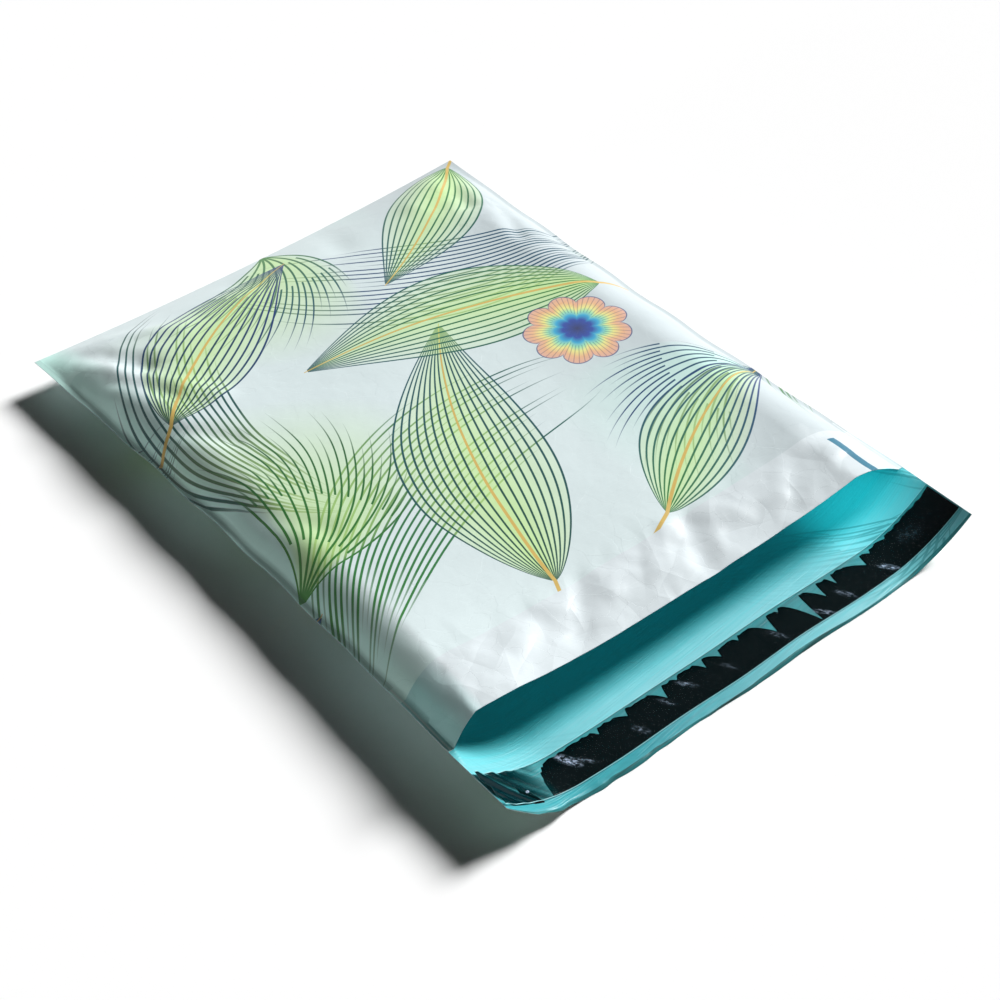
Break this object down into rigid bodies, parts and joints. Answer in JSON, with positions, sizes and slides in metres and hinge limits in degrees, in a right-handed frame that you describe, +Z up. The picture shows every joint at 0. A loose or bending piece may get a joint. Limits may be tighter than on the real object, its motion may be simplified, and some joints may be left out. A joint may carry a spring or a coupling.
{
  "type": "poly mailer bag",
  "caption": "Film mailing bag lying on its back with its mouth open, sealing flap below with a black adhesive band under a clear release liner.",
  "frame": {"origin": "middle of the overall box at the ground the bag lies on", "axes": "+Y from the open mouth and flap towards the folded closed end, +X to the right seen from the mouth, +Z up from the ground"},
  "size_m": [0.2432, 0.3515, 0.033],
  "materials": {
    "film": "satin film, printed outside, teal inside",
    "adhesive": "glossy tacky hot melt",
    "liner": "clear glossy film"
  },
  "bodies": {
    "root": {"film_bag": "film", "adhesive_band": "adhesive", "release_liner": "liner"}
  },
  "joints": []
}
